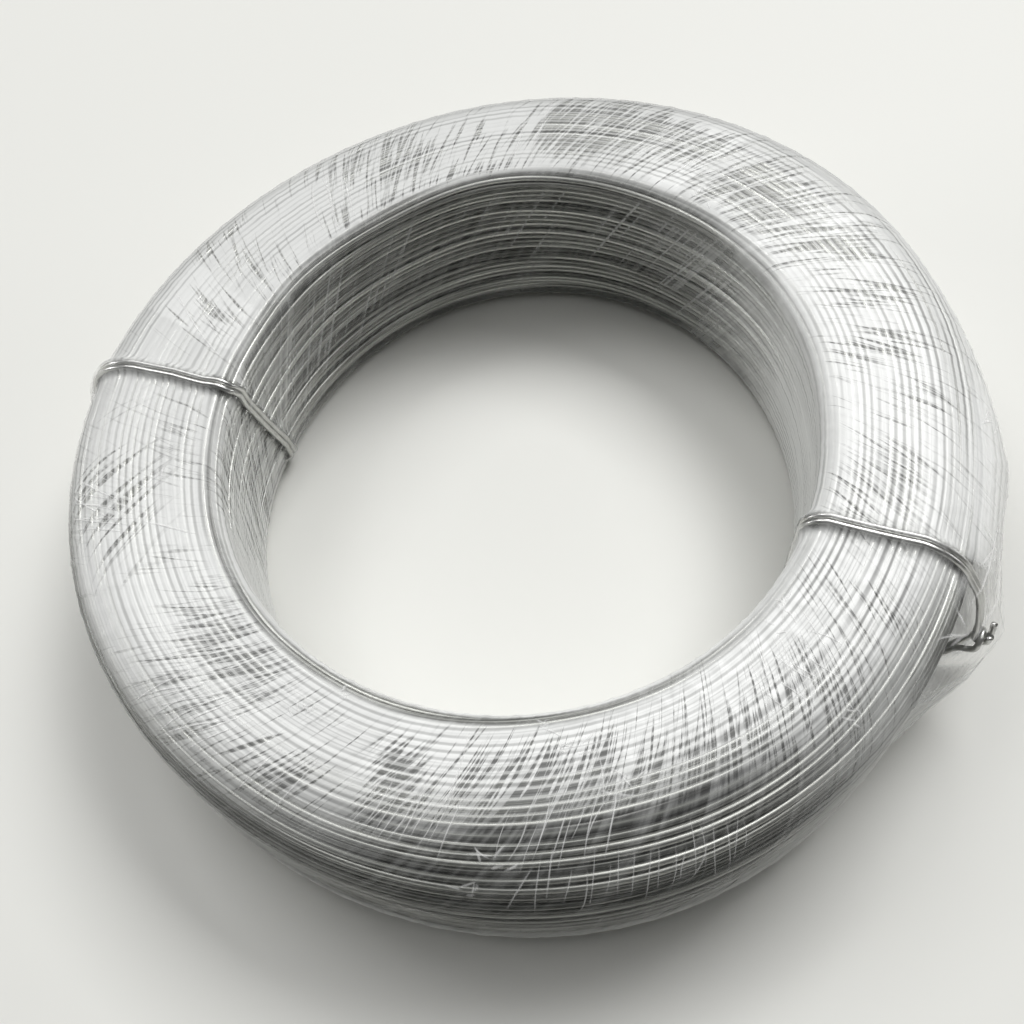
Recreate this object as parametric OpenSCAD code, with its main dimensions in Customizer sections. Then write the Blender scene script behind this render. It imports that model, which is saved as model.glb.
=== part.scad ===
// Coil of plastic-coated aluminium wire, tied in two places with doubled wire and
// wrapped in clear stretch film. It lies flat: the axis of its eye is Z and its base
// is z = 0. Millimetres.

/* [Wire] */
// Diameter of the wire over its clear plastic coat
wire_d = 2.2; // [1.8:0.1:3]
// Space between one turn and the next along a face of the coil
turn_gap = 0.05; // [0.02:0.01:0.3]
// How far single turns rise above or sink below an even layer
uneven = 0.25; // [0:0.05:0.4]

/* [Coil] */
// Outer diameter of the winding
coil_d = 300; // [260:1:380]
// Inner diameter of the winding
eye_d = 196; // [140:1:216]
// Height of the winding
coil_h = 64; // [54:1:90]
// Radius of the winding's outer edges
outer_edge_r = 18; // [10:0.5:20]
// Radius of the winding's inner edges
inner_edge_r = 6; // [4:0.5:10]

/* [Ties] */
// Diameter of the tie wire
tie_d = 2; // [1.4:0.1:2.6]
// Gap between strands that lie side by side or cross
strand_gap = 0.2; // [0.1:0.05:0.4]
// Direction of the right-hand tie, seen from above
right_tie_az = -32; // [-70:1:0]
// Direction of the left-hand tie, seen from above
left_tie_az = 166; // [120:1:190]
// Height of the hooked ends above the base
hook_h = 36; // [32:1:40]
// Length over which the two strands open into the eye of the loop
loop_len = 10; // [8:0.5:12]
// Length of each free end past its hook
tail_len = 5; // [2:0.5:7]
// Angle by which the free ends spread
tail_spread = 14; // [0:1:20]

/* [Film] */
// Thickness of the film, all its layers together
film_t = 0.4; // [0.3:0.05:0.8]
// Depth to which the film dips between two turns
film_dip = 0.2; // [0.05:0.05:0.25]
// Clearance between neighbouring pieces
clear = 0.3; // [0.2:0.05:0.5]

/* [Hidden] */
$fn = 180;
wire_sides = 24;
edge_sides = 48;
tie_sides = 10;
bend_steps = 6;
hook_step = 22.5;
crown_step = 18;
golden_angle = 137.5;
dip_w = wire_d / 2;
aluminium = [0.80, 0.81, 0.82];
bright_wire = [0.66, 0.68, 0.70];
clear_film = [0.93, 0.95, 0.96, 0.35];

// Ties run between the winding and the film. The film hugs the top and the outer
// wall, with a ridge over each tie, and stands clear of the ties in the eye and below.
tie_room = clear + tie_d + clear;
film_slack = 0.2;
far_side = tie_room + film_slack;

// A ring section is [inner r, outer r, low z, top z, inner edge r, outer edge r].
wind_low = film_t + far_side;
winding = [eye_d / 2, coil_d / 2, wind_low, wind_low + coil_h, inner_edge_r, outer_edge_r];
film_inside = [winding[0] - far_side, winding[1] + clear, film_t, winding[3] + clear,
    inner_edge_r + tie_room, outer_edge_r + clear];
film_outside = grown(film_inside, film_t);

// A section with every side moved outward by d
function grown(s, d) = [s[0] - d, s[1] + d, s[2] - d, s[3] + d, s[4] + d, s[5] + d];

// The four edges of a section, counter-clockwise from the lower outer one, each as
// [centre of its arc, radius, start angle]
function edges(s) = [
    [[s[1] - s[5], s[2] + s[5]], s[5], -90],
    [[s[1] - s[5], s[3] - s[5]], s[5], 0],
    [[s[0] + s[4], s[3] - s[4]], s[4], 90],
    [[s[0] + s[4], s[2] + s[4]], s[4], 180]
];

function at(angle) = [cos(angle), sin(angle)];
function on_edge(e, angle) = e[0] + e[1] * at(angle);
function bend_points(e) = [for (i = [0 : bend_steps]) on_edge(e, e[2] + 90 * i / bend_steps)];

// Turns lie side by side round each edge and along the face after it. A place on the
// section is [point, direction outward], and u runs from 0 to 1 along its edge or face.
turn_pitch = wire_d + turn_gap;
turn_edges = edges(grown(winding, -wire_d / 2 - uneven));

function edge_place(e, u) = let (angle = e[2] + 90 * u) [on_edge(e, angle), at(angle)];
function face_place(e, next, u) =
    let (angle = e[2] + 90)
    [on_edge(e, angle) * (1 - u) + on_edge(next, angle) * u, at(angle)];
function face_length(e, next) = norm(on_edge(next, e[2] + 90) - on_edge(e, e[2] + 90));

edge_count = [for (e = turn_edges) max(2, floor(e[1] * PI / 2 / turn_pitch))];
face_count = [for (k = [0 : 3])
    max(2, floor(face_length(turn_edges[k], turn_edges[(k + 1) % 4]) / turn_pitch))];

// Places along corner k and the face after it: shift 0.5 gives the middle of each
// turn, and shift 0 the dip between it and the one before
function places(all_edges, k, shift) =
    let (e = all_edges[k], next = all_edges[(k + 1) % 4])
    concat([for (i = [0 : edge_count[k] - 1]) edge_place(e, (i + shift) / edge_count[k])],
        [for (i = [0 : face_count[k] - 1]) face_place(e, next, (i + shift) / face_count[k])]);

turns = [for (k = [0 : 3]) each places(turn_edges, k, 0.5)];

// Outline of the winding: four points on the outer side of each turn
turn_angles = [-75, -25, 25, 75];
function swung(v, angle) =
    [v[0] * cos(angle) - v[1] * sin(angle), v[0] * sin(angle) + v[1] * cos(angle)];
winding_outline = [for (i = [0 : len(turns) - 1])
    let (middle = turns[i][0] + turns[i][1] * uneven * sin(i * golden_angle))
    each [for (angle = turn_angles) middle + wire_d / 2 * swung(turns[i][1], angle)]];

// Ties: the two strands of a doubled wire run round the section side by side. Its
// closed end opens into a loop, and its free ends pass under the crown of that loop
// and hook back over it. The loop is four strands wide, with both hooks side by side in
// its eye.
strand_step = tie_d + strand_gap;
loop_r = 1.5 * strand_step;
tie_edges = edges(grown(winding, clear + tie_d / 2));
tie_wall_r = winding[1] + clear + tie_d / 2;
hook_x = tie_wall_r + strand_step;
hook_z = hook_h;
loop_z = hook_z - sqrt(loop_r * loop_r - strand_step * strand_step / 4);
tail_tip_y = strand_step / 2 + tail_len * sin(tail_spread);

function ease(u) = u * u * (3 - 2 * u);

// Points of one strand, from the tip of its free end round to the crown of the loop.
// x is the radius and y the distance to one side of the tie's middle.
tail_points = [[hook_x + strand_step, tail_tip_y, hook_z + tail_len * cos(tail_spread)]];
hook_points = [for (angle = [0 : -hook_step : -180])
    [hook_x + strand_step * cos(angle), strand_step / 2, hook_z + strand_step * sin(angle)]];
round_points = [for (k = [1, 2, 3, 0]) each
    [for (p = bend_points(tie_edges[k])) [p[0], strand_step / 2, p[1]]]];
opening_points = [for (i = [0 : bend_steps])
    let (u = i / bend_steps)
    [tie_wall_r + strand_step * ease(u),
     strand_step / 2 + strand_step * ease(u),
     loop_z - loop_len * (1 - u)]];
crown_points = [for (angle = [crown_step : crown_step : 90 - crown_step])
    [hook_x, loop_r * cos(angle), loop_z + loop_r * sin(angle)]];
strand = concat(tail_points, hook_points, round_points, opening_points, crown_points);
crown_top = [[hook_x, 0, loop_z + loop_r]];
tie_line = concat(strand, crown_top, [for (i = [len(strand) - 1 : -1 : 0])
    [strand[i][0], -strand[i][1], strand[i][2]]]);

// Round rod along a line of points, with its rings carried along without twist
function unit(v) = v / norm(v);
function heading(line, i) =
    unit((i == 0 ? [0, 0, 0] : unit(line[i] - line[i - 1]))
        + (i == len(line) - 1 ? [0, 0, 0] : unit(line[i + 1] - line[i])));
function square_to(v, axis) = unit(v - (v * axis) * axis);

module rod_along(line, d, sides) {
    last = len(line) - 1;
    across = [for (i = 0, v = square_to([0, 1, 0], heading(line, 0)); i <= last;
        i = i + 1, v = square_to(v, heading(line, min(i, last)))) v];
    points = [for (i = [0 : last], k = [0 : sides - 1])
        let (v = across[i], w = cross(heading(line, i), v), angle = 360 * k / sides)
        line[i] + d / 2 * (cos(angle) * v + sin(angle) * w)];
    skin = [for (i = [0 : last - 1], k = [0 : sides - 1])
        let (a = i * sides + k, b = i * sides + (k + 1) % sides)
        each [[a, a + sides, b], [b, a + sides, b + sides]]];
    start = [for (k = [0 : sides - 1]) k];
    end = [for (k = [sides - 1 : -1 : 0]) last * sides + k];
    polyhedron(points, concat([start, end], skin));
}

module tie_wire(az) {
    rotate([0, 0, az]) rod_along(tie_line, tie_d, tie_sides);
}

// Solid ring section with round edges
module ring_section(s) {
    translate([s[0] + s[4], s[2]]) square([s[1] - s[5] - s[0] - s[4], s[3] - s[2]]);
    translate([s[0], s[2] + s[4]]) square([s[4], s[3] - s[2] - 2 * s[4]]);
    translate([s[1] - s[5], s[2] + s[5]]) square([s[5], s[3] - s[2] - 2 * s[5]]);
    for (e = edges(s)) translate(e[0]) circle(r = e[1], $fn = edge_sides);
}

// Cross-section of the ridge that the film makes over both strands of a tie
module ridge_section(margin) {
    r = tie_d / 2 + margin;
    square([2 * r, strand_step], center = true);
    for (side = [-1, 1]) translate([0, side * strand_step / 2]) circle(r = r, $fn = wire_sides);
}

// Ridge all round the section, in the plane y = 0
module ridge(margin) {
    rotate([90, 0, 0])
    for (k = [0 : 3]) {
        e = tie_edges[k];
        next = tie_edges[(k + 1) % 4];
        angle = e[2] + 90;
        translate(e[0]) rotate([0, 0, e[2]])
            rotate_extrude(angle = 90) translate([e[1], 0]) ridge_section(margin);
        translate(on_edge(next, angle)) rotate([0, 0, angle]) rotate([90, 0, 0])
            linear_extrude(norm(on_edge(next, angle) - on_edge(e, angle))) ridge_section(margin);
    }
}

// Blister over the hooked ends, deep enough for the tips of both tails. It reaches
// down over this share of the length in which the loop opens.
blister_share = 0.4;
blister_r = 2 * loop_r + tie_d + clear;
blister_x = hook_x + strand_step
    - sqrt(pow(blister_r - tie_d / 2 - clear, 2) - tail_tip_y * tail_tip_y);
blister_low = loop_z - blister_share * loop_len;
blister_top = hook_z + tail_len + clear;

module blister(margin) {
    r = blister_r + margin;
    translate([blister_x, 0, blister_low]) cylinder(r = r, h = blister_top - blister_low);
    for (z = [blister_low, blister_top]) translate([blister_x, 0, z]) sphere(r = r);
}

// Tunnels over the ties: their inside, or their outside when margin is the film's
// thickness
module tie_tunnels(margin) {
    for (az = [right_tie_az, left_tie_az])
        rotate([0, 0, az]) {
            ridge(clear + margin);
            blister(margin);
        }
}

// Shallow grooves where tight film dips between the turns of the outer wall, the
// upper outer edge and the top
module dips(section) {
    for (k = [0, 1], place = places(edges(section), k, 0))
        translate(place[0]) rotate(atan2(place[1][1], place[1][0]))
            polygon([[-film_dip, 0], [film_dip, -dip_w], [film_dip, dip_w]]);
}

// Winding: turns side by side on all four faces of the ring
module wire_winding() {
    color(aluminium) rotate_extrude() polygon(winding_outline);
}

module tie_wire_right() {
    color(bright_wire) tie_wire(right_tie_az);
}

module tie_wire_left() {
    color(bright_wire) tie_wire(left_tie_az);
}

module wrap_film() {
    color(clear_film)
    difference() {
        union() {
            rotate_extrude() difference() {
                ring_section(film_outside);
                dips(film_outside);
            }
            tie_tunnels(film_t);
        }
        rotate_extrude() ring_section(film_inside);
        tie_tunnels(0);
    }
}

wire_winding();
tie_wire_right();
tie_wire_left();
wrap_film();
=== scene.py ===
# %% [markdown]
# # A coil of clear-coated aluminium wire
#
# The real thing is a ring of soft aluminium wire with a clear plastic coat, wound turn
# beside turn. Two doubled wires tie it, and stretch film is wound through its eye and
# round the whole ring. The CAD model holds the sizes. This lesson dresses it: every
# visible turn becomes a round wire of its own, the ties get their bends and hooks, and
# the film becomes a thin wrinkled skin.

# %% Load the CAD model
import math

import bpy
import numpy as np
from mathutils import Matrix, Vector


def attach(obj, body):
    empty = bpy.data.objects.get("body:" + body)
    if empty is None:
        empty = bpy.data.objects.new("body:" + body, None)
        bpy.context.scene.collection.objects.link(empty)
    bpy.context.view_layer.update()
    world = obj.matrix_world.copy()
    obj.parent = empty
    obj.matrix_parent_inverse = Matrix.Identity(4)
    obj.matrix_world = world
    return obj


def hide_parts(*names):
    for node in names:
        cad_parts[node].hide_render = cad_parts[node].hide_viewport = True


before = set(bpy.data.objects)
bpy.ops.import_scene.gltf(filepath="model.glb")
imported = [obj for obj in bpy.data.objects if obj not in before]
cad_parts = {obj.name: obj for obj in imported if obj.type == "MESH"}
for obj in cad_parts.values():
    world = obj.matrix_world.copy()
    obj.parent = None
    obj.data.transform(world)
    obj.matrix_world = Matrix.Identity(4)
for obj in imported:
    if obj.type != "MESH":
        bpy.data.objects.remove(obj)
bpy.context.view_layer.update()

# %% [markdown]
# ## The ring's section
#
# Every piece follows the same path: once round the section of the ring, up the outer
# wall, over the top, down the eye and back underneath. So the path is worked out once,
# as a walk along four rounded edges and four faces. A piece then only says how far along
# the walk it is, how far it stands off, and at which angle round the coil.
#
# Distances along the walk differ from piece to piece, so spots are named by place. The
# places count edges and faces from the lower outer edge: 1 to 2 is the outer wall, 3 to 4
# the top, 5 to 6 the wall of the eye and 7 to 8 the base.

# %% Measure the winding
MM = 0.001
EYE_EDGE = 6 * MM     # radius of the section's two rounded edges at the eye
RIM_EDGE = 18 * MM    # and of the two at the rim

winding_points = np.array([v.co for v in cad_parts["wire_winding"].data.vertices])
radii = np.hypot(winding_points[:, 0], winding_points[:, 1])
EYE_R, RIM_R = radii.min(), radii.max()
BASE_Z, TOP_Z = winding_points[:, 2].min(), winding_points[:, 2].max()
print("winding: eye", EYE_R, "rim", RIM_R, "from", BASE_Z, "to", TOP_Z)


# %% Walk round the section
def section_walk(inward):
    """Edges and faces of the section with each side moved inward, and its whole length."""
    r0, r1 = EYE_R + inward, RIM_R - inward
    z0, z1 = BASE_Z + inward, TOP_Z - inward
    eye, rim = EYE_EDGE - inward, RIM_EDGE - inward
    edges = [(r1 - rim, z0 + rim, rim, -90), (r1 - rim, z1 - rim, rim, 0),
             (r0 + eye, z1 - eye, eye, 90), (r0 + eye, z0 + eye, eye, 180)]
    stretches, start = [], 0.0
    for k, (r, z, radius, angle) in enumerate(edges):
        turn = math.radians(angle)
        stretches.append(("edge", start, radius * math.pi / 2, (r, z, radius, turn)))
        start += radius * math.pi / 2
        out = turn + math.pi / 2
        begin = np.array((r + radius * math.cos(out), z + radius * math.sin(out)))
        r, z, radius, _ = edges[(k + 1) % 4]
        end = np.array((r + radius * math.cos(out), z + radius * math.sin(out)))
        length = float(np.linalg.norm(end - begin))
        stretches.append(("face", start, length, (begin, end, out)))
        start += length
    return stretches, start


def walk_marks(walk):
    """Distances at which the edges and faces begin, and the whole length."""
    stretches, whole = walk
    return [start for _, start, _, _ in stretches] + [whole]


def place_at(walk, distance):
    return np.interp(distance, walk_marks(walk), range(9))


def distance_at(walk, place):
    return np.interp(place, range(9), walk_marks(walk))


def point_on(walk, distance):
    """Radius, height and outward direction at a distance along the walk."""
    stretches, whole = walk
    d = np.mod(distance, whole)
    r, z, nr, nz = (np.zeros_like(d) for _ in range(4))
    for kind, start, length, facts in stretches:
        on = (d >= start) & (d < start + length)
        u = (d[on] - start) / length
        if kind == "edge":
            centre_r, centre_z, radius, turn = facts
            nr[on], nz[on] = np.cos(turn + u * math.pi / 2), np.sin(turn + u * math.pi / 2)
            r[on], z[on] = centre_r + radius * nr[on], centre_z + radius * nz[on]
        else:
            begin, end, out = facts
            nr[on], nz[on] = math.cos(out), math.sin(out)
            r[on] = begin[0] + (end[0] - begin[0]) * u
            z[on] = begin[1] + (end[1] - begin[1]) * u
    return r, z, nr, nz


marks = [round(mark / MM) for mark in walk_marks(section_walk(0))]
print("edges and faces begin after", marks[:-1], "mm of", marks[-1])

# %% [markdown]
# ## Hand-wound, so out of round
#
# No coil like this is a true ring. It has been squeezed, carried and tied, so its rim is
# flattened on one side and full on the other. The finished meshes could each be pushed
# into shape, but then they would part company. One function bends the ideal ring
# instead, and every piece passes through it.

# %% Bend the ideal ring
# Waves round the coil: how many, and the size of the cosine and the sine in millimetres
RIM_WAVES = {2: (-1.4, 3.4), 3: (-1.5, 1.3), 4: (0.3, 0.2)}
EYE_WAVES = {1: (-1.5, -2.0), 2: (-2.4, 2.2), 3: (-0.5, -0.5)}


def waves(angle, table):
    return MM * sum(c * np.cos(k * angle) + s * np.sin(k * angle)
                    for k, (c, s) in table.items())


def out_of_round(radius, angle, height):
    """World points for ideal ring coordinates."""
    share = np.clip((radius - EYE_R) / (RIM_R - EYE_R), -0.1, 1.1)
    bent = radius + (1 - share) * waves(angle, EYE_WAVES) + share * waves(angle, RIM_WAVES)
    return np.stack([bent * np.cos(angle), bent * np.sin(angle), height], -1)


for edge, table in (("rim", RIM_WAVES), ("eye", EYE_WAVES)):
    moved = waves(np.linspace(0, 2 * math.pi, 361), table) / MM
    print(edge, "moves by", round(moved.min(), 1), "to", round(moved.max(), 1), "mm")


# %% Mesh helpers
def new_piece(name, points, quads, caps=()):
    """A smooth mesh object from points and rows of four corners, with extra end faces."""
    mesh = bpy.data.meshes.new(name)
    mesh.from_pydata(points.reshape(-1, 3).tolist(), [], quads.tolist() + list(caps))
    mesh.polygons.foreach_set("use_smooth", [True] * len(mesh.polygons))
    mesh.update()
    piece = bpy.data.objects.new(name, mesh)
    bpy.context.scene.collection.objects.link(piece)
    print(name, "has", 2 * len(quads) + sum(len(cap) - 2 for cap in caps), "triangles")
    return piece


def grid_quads(rows, columns, join_rows=True, join_columns=True, first=0):
    """Quads over a grid of points; a joined direction closes on itself."""
    i, j = np.meshgrid(np.arange(rows if join_rows else rows - 1),
                       np.arange(columns if join_columns else columns - 1), indexing="ij")
    next_i, next_j = (i + 1) % rows, (j + 1) % columns
    corners = [i * columns + j, i * columns + next_j,
               next_i * columns + next_j, next_i * columns + j]
    return np.stack(corners, -1).reshape(-1, 4) + first


def add_layer(piece, name, values, domain="POINT", kind="FLOAT"):
    """Store numbers with a mesh, for its finish to read by name."""
    layer = piece.data.attributes.new(name, kind, domain)
    layer.data.foreach_set("value" if kind == "FLOAT" else "vector",
                           np.asarray(values, np.float32).reshape(-1))


# %% [markdown]
# ## The turns
#
# Wire that is wound by machine lies almost even: most turns touch, some leave a gap, and
# here and there one has sunk into the layer below. A pattern in the finish could draw
# turns on a smooth ring, but only round wires shade and hide each other as wires do. The
# gaps are drawn first, as smooth waves that differ from turn to turn, and then the turns
# are laid out one after the other until the walk is full. So neighbours crowd and spread
# together, and none runs through another.

# %% Noise and soft spots round the ring
rng = np.random.default_rng(11)


def ring_noise(rows, angles, waves_count, fall):
    """Smooth noise round the ring with unit size, one row for each turn."""
    total = np.zeros((rows, len(angles)))
    power = 0.0
    for k in range(1, waves_count + 1):
        size = k ** -fall
        phase = rng.uniform(0, 2 * math.pi, (rows, 1))
        total += size * np.cos(k * angles[None, :] + phase)
        power += size * size / 2
    return total / math.sqrt(power)


def degrees_from(angle, middle):
    """How far an angle is from a direction in degrees, the shorter way round."""
    return (np.degrees(angle) - middle + 180) % 360 - 180


def bell(value, middle, half, power=2):
    """One in the middle, and about a third at half a width from it."""
    return np.exp(-np.abs((value - middle) / half) ** power)


def ring_bell(angle, middle, half, power=2):
    return bell(degrees_from(angle, middle), 0, half, power)


# %% Gaps between the turns
TURN_STEP = 2.28 * MM    # from one turn to the next, on average
TURN_WIRE = 2.12 * MM    # across one turn
TURN_ANGLES = 200
TURN_SIDES = 10
FRONT = 275              # direction of the coil's front, in degrees
GAP_WAVES, GAP_TURNS = 0.85, 0.6    # how much gaps differ along a turn and between turns
FRONT_GAPS = 1.3                    # how much wider they are at the front's upper edge

theta = np.arange(TURN_ANGLES) * 2 * math.pi / TURN_ANGLES
turn_walk = section_walk(TURN_WIRE / 2)
turn_count = int(turn_walk[1] / TURN_STEP)
turn_place = place_at(turn_walk, np.arange(turn_count) / turn_count * turn_walk[1])[:, None]
gaps = np.exp(GAP_WAVES * ring_noise(turn_count, theta, 9, 0.7)
              + GAP_TURNS * rng.normal(size=(turn_count, 1)))
gaps *= 1 + FRONT_GAPS * bell(turn_place, 2.8, 0.5) * ring_bell(theta, FRONT, 45)
gaps *= (turn_walk[1] - turn_count * TURN_WIRE) / gaps.sum(0, keepdims=True)
turn_along = np.cumsum(gaps + TURN_WIRE, axis=0)
print("turns:", turn_count, "with gaps up to", round(gaps.max() / MM, 2), "mm")


# %% Height and tone of each turn
def rise(value, at, slope):
    return 1 / (1 + np.exp(-slope * (value - at)))


# All turns lie a hair low, many have sunk by up to 0.6 mm, and a few by 0.7 mm more
sunk = ring_noise(turn_count, theta, 5, 0.6) + 0.8 * rng.normal(size=(turn_count, 1))
turn_lift = -MM * (0.06 + 0.6 * rise(sunk, 0.5, 2.2) + 0.7 * rise(sunk, 2.0, 4))

# The tone goes from 0, dull, to 1, bright, and differs most from turn to turn in the eye.
# Painted shade lowers the tone at the front, along the back of the rim and low on the front
# of the outer wall. Its rows: by how much, then middle and half width in places and in
# degrees.
PAINTED_SHADE = [(0.36, (2.6, 1.1, 4), (FRONT, 52)), (0.35, (2.3, 0.35, 4), (95, 90, 4)),
          (0.3, (1.4, 0.6, 4), (258, 26))]
of_eye = (turn_place > 4.6) & (turn_place < 6.6)
turn_tone = 0.5 + np.where(of_eye, 0.38, 0.26) * rng.normal(size=(turn_count, 1)) \
    + 0.16 * ring_noise(turn_count, theta, 14, 0.3) - 0.15 * of_eye
for less_by, places, degrees in PAINTED_SHADE:
    turn_tone -= less_by * bell(turn_place, *places) * ring_bell(theta, *degrees)
print("deepest turn:", round(turn_lift.min() / MM, 2), "mm")
print("mean tone:", round(turn_tone.mean(), 2))

# %% Round wires along the walk
# Drawing leaves fine lines along a wire. The finish makes them from noise that is slow
# round the coil and quick round the wire, and starts anew at each turn.
LINES_ROUND_COIL = 3
LINES_ROUND_WIRE = 3.4
LINES_PER_TURN = 5.3


def wire_rings(name, along, lift, tone, walk, sides):
    """One mesh of closed round wires, one for each row of distances along the walk."""
    rows, count = along.shape
    angles = np.broadcast_to(np.arange(count) * 2 * math.pi / count, along.shape)[..., None]
    r, z, nr, nz = point_on(walk, along)
    r, z = r + lift * nr, z + lift * nz
    round_wire = np.arange(sides) * 2 * math.pi / sides
    points = out_of_round(r[..., None] + TURN_WIRE / 2 * np.cos(round_wire),
                          np.repeat(angles, sides, -1),
                          z[..., None] + TURN_WIRE / 2 * np.sin(round_wire))
    quads = np.concatenate([grid_quads(count, sides, first=k * count * sides)
                            for k in range(rows)])
    piece = new_piece(name, points, quads)
    add_layer(piece, "tone", np.repeat(tone, sides))
    lines = np.empty(points.shape)
    for axis, wave in enumerate((np.cos, np.sin)):
        lines[..., axis] = (LINES_ROUND_COIL * wave(angles)
                            + LINES_ROUND_WIRE * wave(round_wire))
    lines[..., 2] = LINES_PER_TURN * np.arange(rows)[:, None, None]
    add_layer(piece, "draw_lines", lines, kind="FLOAT_VECTOR")
    return piece


# %% Cut the turns into four pieces
middle = turn_along.mean(1) % turn_walk[1]
wall_end, top_end, eye_end = distance_at(turn_walk, [2.35, 5, 7])
turn_groups = {
    "turns_outer_wall": middle < wall_end,
    "turns_top": (middle >= wall_end) & (middle < top_end),
    "turns_eye": (middle >= top_end) & (middle < eye_end),
    "turns_base": middle >= eye_end,
}
turn_pieces = [wire_rings(name, turn_along[rows], turn_lift[rows], turn_tone[rows],
                          turn_walk, TURN_SIDES) for name, rows in turn_groups.items()]

# %% The layer below, seen through the gaps
BELOW = 1.9 * MM         # from the outer layer's middle to the next one's
BELOW_WANDER = 0.3 * MM
BELOW_ANGLES, BELOW_SIDES = 120, 6

below_walk = section_walk(TURN_WIRE / 2 + BELOW)
below_count = int(below_walk[1] / TURN_STEP)
below_theta = np.arange(BELOW_ANGLES) * 2 * math.pi / BELOW_ANGLES
below_along = (np.arange(below_count)[:, None] + 0.5) * below_walk[1] / below_count \
    + BELOW_WANDER * ring_noise(below_count, below_theta, 5, 0.6)
below_piece = wire_rings("turns_below", below_along, np.zeros_like(below_along),
                         np.full_like(below_along, 0.5), below_walk, BELOW_SIDES)

# %% [markdown]
# ## The ties
#
# Each tie is one piece of wire folded in half and laid round the ring as a pair of
# strands. Its folded end makes a loop on the outer wall. The two free ends pass under
# the crown of the loop and are bent back over it as hooks. A bevelled curve could carry
# the wire, but it twists at the tight bends. So the route is a list of places round the
# section, and a round rod is carried along it, turning as little as it can at each step.

# %% Route of a tie
TIE_D = 2.0 * MM
TIE_SIDES = 12
CLEAR = 0.3 * MM                   # between the winding and the tie
STRAND_STEP = 2.2 * MM             # between the middles of the two strands
LOOP_R = 1.5 * STRAND_STEP
HOOK_Z = 36 * MM                   # height of the hooks' middle
HOOK_REACH = 2 * MM                # how far the strand runs up behind its own hook
LOOP_LEN = 10 * MM
TAIL_LEN = 5 * MM
TAIL_SPREAD = math.radians(14)
WALL_PLACE = 1.5
HOOK_POINTS, ROUND_POINTS, SIDE_POINTS = 13, 150, 12


def smooth_step(value, low, high):
    u = np.clip((value - low) / (high - low), 0, 1)
    return u * u * (3 - 2 * u)


def tie_route():
    """Ideal radius, sideways, height and place round the section, from end to end."""
    def leg(radius, sideways, height, place=WALL_PLACE):
        return np.stack(np.broadcast_arrays(radius, sideways, height, place), -1)

    walk = section_walk(-(CLEAR + TIE_D / 2))
    half = STRAND_STEP / 2
    wall_r = RIM_R + CLEAR + TIE_D / 2
    hook_r = wall_r + STRAND_STEP
    loop_z = HOOK_Z - math.sqrt(LOOP_R ** 2 - half ** 2)

    tail = TAIL_LEN * np.array([1, 0.5])
    tail = leg(hook_r + STRAND_STEP, half + tail * math.sin(TAIL_SPREAD),
               HOOK_Z + tail * math.cos(TAIL_SPREAD))
    turn = np.linspace(0, -math.pi, HOOK_POINTS)
    hook = leg(hook_r + STRAND_STEP * np.cos(turn), half, HOOK_Z + STRAND_STEP * np.sin(turn))

    _, wall_start, _, (foot, _, _) = walk[0][1]
    along = np.linspace(wall_start + HOOK_Z + HOOK_REACH - foot[1],
                        wall_start + loop_z - LOOP_LEN - foot[1] + walk[1], ROUND_POINTS)
    r, z, _, _ = point_on(walk, along)
    once_round = leg(r, half, z, place_at(walk, np.mod(along, walk[1])))

    u = np.arange(1, SIDE_POINTS + 1) / SIDE_POINTS
    out = STRAND_STEP * smooth_step(u, 0, 1)
    side = leg(wall_r + out, half + out, loop_z - LOOP_LEN * (1 - u))
    turn = np.radians(np.arange(10, 91, 10))
    crown = leg(hook_r, LOOP_R * np.cos(turn), loop_z + LOOP_R * np.sin(turn))
    there = np.concatenate([tail, hook, once_round, side, crown])
    return np.concatenate([there, there[-2::-1] * (1, -1, 1, 1)])


print("a tie's route has", len(tie_route()), "points")


# %% A round rod along a line
def rod(name, line):
    """A round rod along world points, closed at both ends."""
    steps = np.diff(line, axis=0)
    print(name, "is", round(np.linalg.norm(steps, axis=1).sum() / MM), "mm of wire")
    steps /= np.linalg.norm(steps, axis=1, keepdims=True)
    heading = np.concatenate([steps[:1], steps[:-1] + steps[1:], steps[-1:]])
    heading /= np.linalg.norm(heading, axis=1, keepdims=True)
    across = np.zeros_like(line)
    v = np.cross(heading[0], (0.3, 0.5, 0.81))
    for i, h in enumerate(heading):
        v = v - h * (v @ h)
        v /= np.linalg.norm(v)
        across[i] = v
    other = np.cross(heading, across)
    a = (np.arange(TIE_SIDES) * 2 * math.pi / TIE_SIDES)[None, :, None]
    points = line[:, None] + TIE_D / 2 * (np.cos(a) * across[:, None]
                                          + np.sin(a) * other[:, None])
    last = len(line) * TIE_SIDES - 1
    return new_piece(name, points, grid_quads(len(line), TIE_SIDES, join_rows=False),
                     caps=[list(range(TIE_SIDES)), [last - k for k in range(TIE_SIDES)]])


# %% Lay the two ties round the ring
TIE_AT = {"right": -32.2, "left": 165.8}           # directions in degrees
KNOT_OFF = {"right": 6.5 * MM, "left": 0}          # how far the knot is lifted off the wall
KNOT_REACH = 17 * MM                               # and how far up and down that goes
# How far each tie wanders round the coil (degrees) at places round the section
TIE_DRIFT = {
    "right": ([0, 1.5, 2.4, 3.0, 3.4, 3.8, 4.2, 4.7, 5.5, 7.5, 8],
              [0, 0, 1.8, 1.7, 0.9, 0.1, -0.7, -1.3, -1.4, -0.5, 0]),
    "left": ([0, 2.5, 3.0, 3.5, 3.9, 4.5, 5.1, 5.5, 5.9, 6.4, 7.5, 8],
             [0, 0, 0.2, 1.0, 2.3, 2.7, 1.4, -1.7, -5.1, -5.9, -2.2, 0]),
}


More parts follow.
